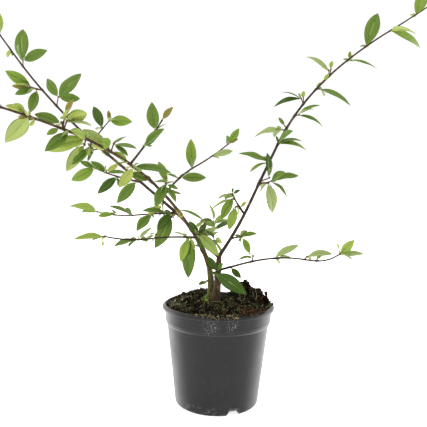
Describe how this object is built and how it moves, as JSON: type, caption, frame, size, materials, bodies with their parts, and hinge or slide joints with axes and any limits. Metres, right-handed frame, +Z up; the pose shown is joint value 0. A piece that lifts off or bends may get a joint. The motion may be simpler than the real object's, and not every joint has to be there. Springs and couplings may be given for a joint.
{
  "type": "potted willowleaf cotoneaster",
  "caption": "Young evergreen shrub with long arching shoots of narrow leaves, growing from a short forked base in a round plastic nursery pot of soil.",
  "frame": {"origin": "centre of the flat pad under the pot, on the plane that the pot stands on", "axes": "+Z up through the pot, +X to the right and -Y towards the viewer of the picture"},
  "size_m": [0.7382, 0.4343, 0.5522],
  "materials": {
    "pot": "satin",
    "soil": "matte",
    "bark": "matte",
    "green_bark": "matte",
    "bough_bark": "matte",
    "leaves": "satin"
  },
  "bodies": {
    "root": {"pot": "pot", "soil": "soil", "trunk": "bark", "left_stem": "green_bark", "right_bough": "bough_bark", "left_bough": "bough_bark", "upper_left_bough": "bough_bark", "right_bough_leaves": "leaves", "upper_left_bough_leaves": "leaves", "left_bough_leaves": "leaves", "inner_twig_leaves": "leaves", "low_left_twig_leaves": "leaves", "left_level_twig_leaves": "leaves", "left_front_twig_leaves": "leaves", "low_right_twig_leaves": "leaves", "right_foot_twig_leaves": "leaves", "right_inner_twig_leaves": "leaves", "fork_twig_leaves": "leaves", "bough_side_twig_leaves": "leaves", "back_twig_leaves": "leaves", "foot_leaves": "leaves", "stem_foot_leaves": "leaves"}
  },
  "joints": []
}
